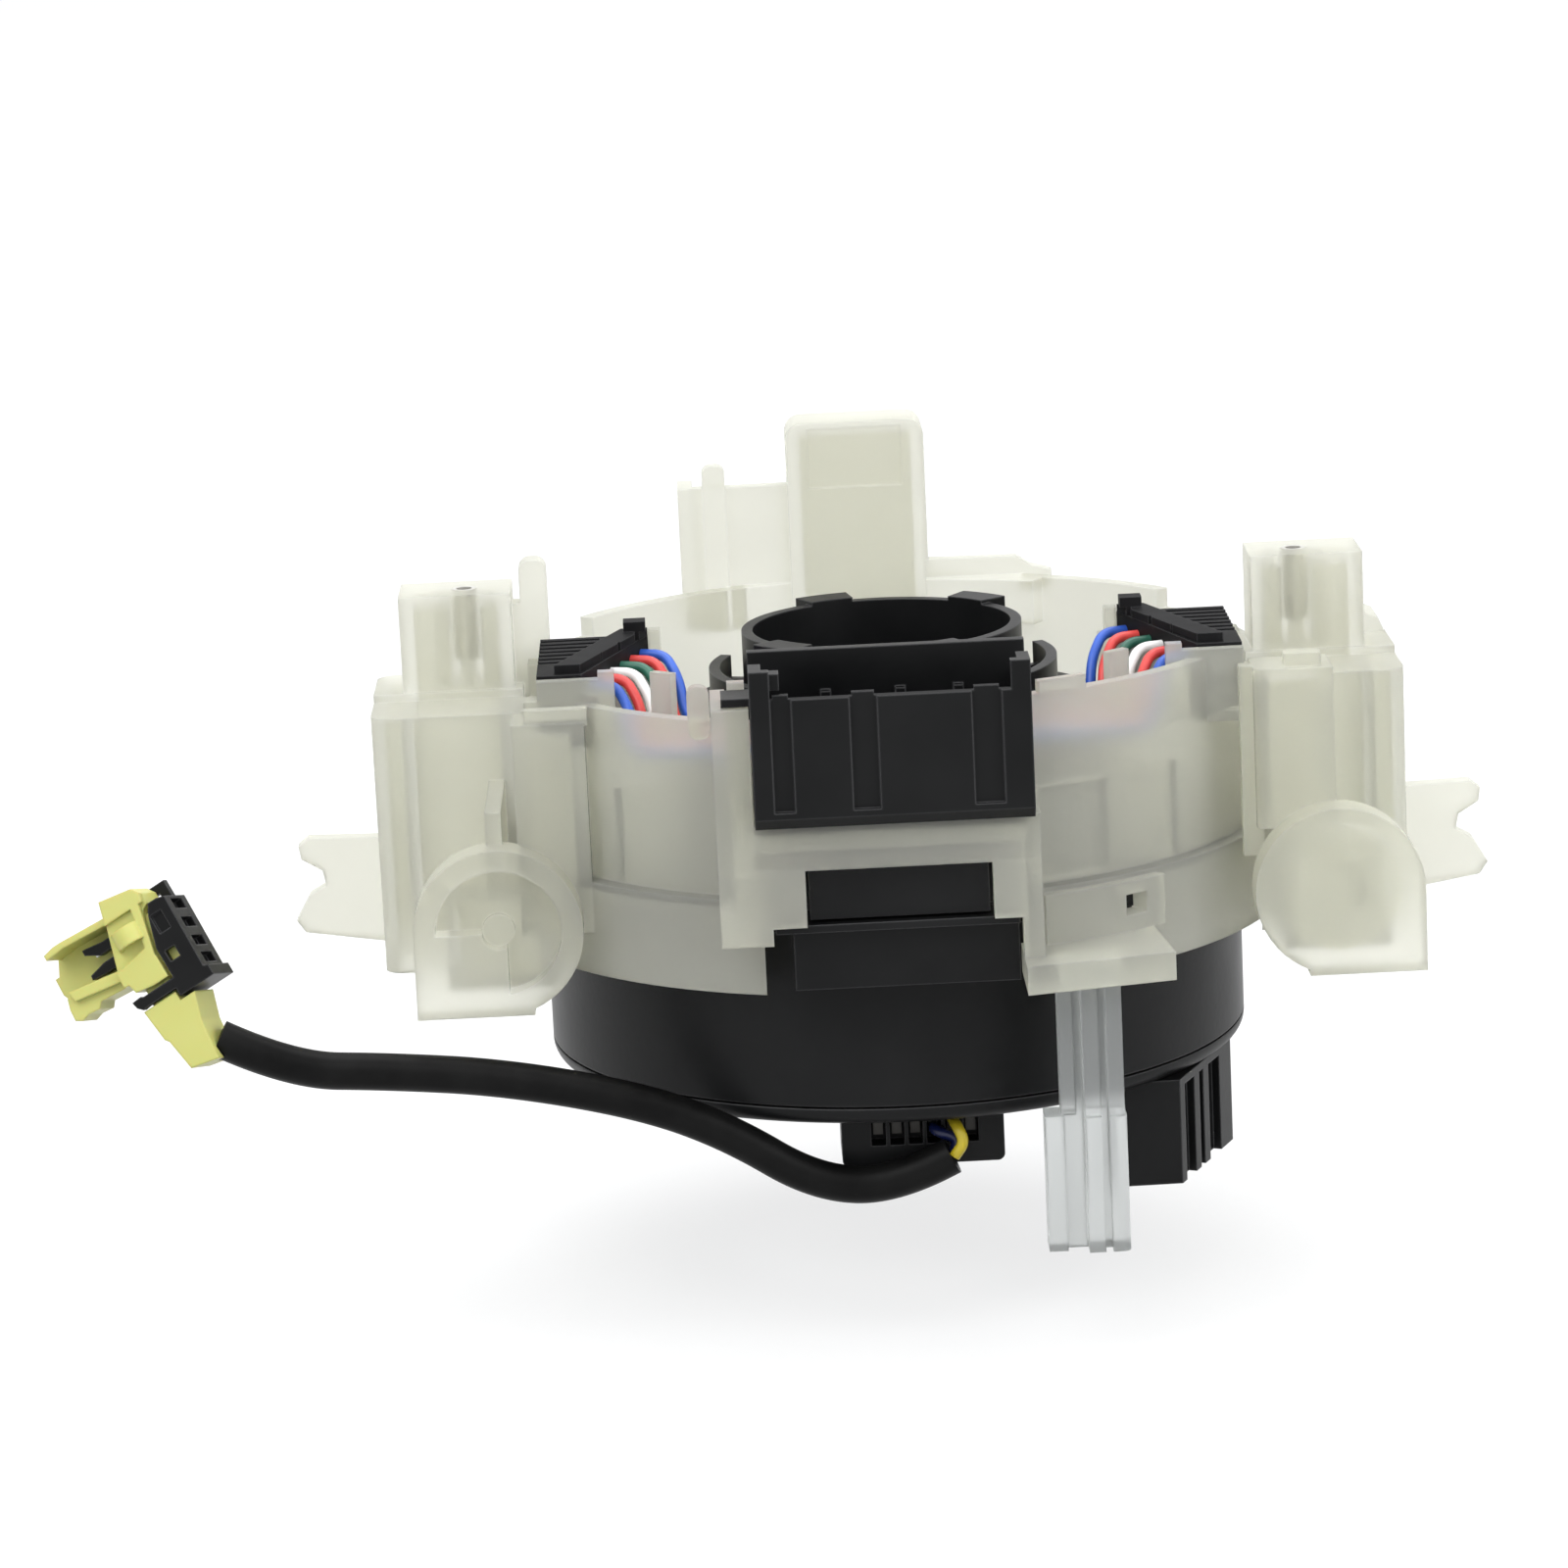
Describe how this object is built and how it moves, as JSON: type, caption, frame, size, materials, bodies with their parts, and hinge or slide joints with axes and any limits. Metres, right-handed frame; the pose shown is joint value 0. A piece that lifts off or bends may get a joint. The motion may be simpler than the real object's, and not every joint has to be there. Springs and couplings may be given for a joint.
{
  "type": "steering_clock_spring",
  "caption": "Steering clock spring: milky switch carrier clipped on a black drum, turning collar, open harness socket, clear transport lock and a black airbag lead with yellow plug",
  "frame": {"origin": "on the turning axis, 8.6 mm below the top face of the drum flange", "axes": "+Z along the column away from the steering wheel, -Y the side with the harness socket, +X to the right in the picture"},
  "size_m": [0.1832, 0.1122, 0.0876],
  "materials": {
    "milky_nylon": "satin",
    "black_plastic": "satin",
    "dark_plastic": "matte",
    "tin_contact": "satin",
    "clear_plastic": "gloss",
    "brass_insert": "satin",
    "slip_sheet": "matte",
    "ribbon_film": "satin",
    "black_sleeve": "satin",
    "yellow_plastic": "satin",
    "wire_yellow": "satin",
    "wire_blue": "satin",
    "wire_red": "satin",
    "wire_green": "satin",
    "wire_white": "satin"
  },
  "bodies": {
    "stator": {"carrier": "milky_nylon", "drum": "black_plastic", "harness_socket": "black_plastic", "harness_pins": "tin_contact", "left_insert": "brass_insert", "right_insert": "brass_insert", "upper_slip_sheet": "slip_sheet", "ribbon_cable": "ribbon_film", "left_switch_socket": "dark_plastic", "left_terminal_retainer": "dark_plastic", "left_switch_terminals": "tin_contact", "left_wire_blue": "wire_blue", "left_wire_red": "wire_red", "left_wire_green": "wire_green", "left_wire_white": "wire_white", "left_wire_red_low": "wire_red", "left_wire_blue_low": "wire_blue", "right_switch_socket": "dark_plastic", "right_terminal_retainer": "dark_plastic", "right_switch_terminals": "tin_contact", "right_wire_blue": "wire_blue", "right_wire_red": "wire_red", "right_wire_green": "wire_green", "right_wire_white": "wire_white", "right_wire_red_low": "wire_red", "right_wire_blue_low": "wire_blue"},
    "rotor": {"rotor_plate": "black_plastic", "rotor_collar": "black_plastic", "lower_slip_sheet": "slip_sheet", "wheel_connector": "black_plastic", "wheel_pins": "tin_contact", "pigtail_connector": "black_plastic", "pigtail_terminals": "tin_contact", "pigtail_wire_yellow": "wire_yellow", "pigtail_wire_blue": "wire_blue", "airbag_lead": "black_sleeve", "squib_housing": "yellow_plastic", "squib_terminals": "tin_contact"},
    "squib_lock": {"squib_lock": "black_plastic"},
    "lock_pin": {"lock_pin": "clear_plastic"}
  },
  "joints": [
    {"name": "rotor_turn", "type": "hinge", "parent": "stator", "child": "rotor", "pos_m": [0, 0, 0], "axis": [0, 0, 1], "range_deg": [-900, 900], "deforming": ["airbag_lead"]},
    {"name": "squib_lock_slide", "type": "slide", "parent": "rotor", "child": "squib_lock", "axis": [0.845, -0.096, 0.526], "range_m": [0, 0.003]},
    {"name": "lock_pin_pull", "type": "slide", "parent": "stator", "child": "lock_pin", "axis": [0, 0, -1], "range_m": [0, 0.006]}
  ]
}
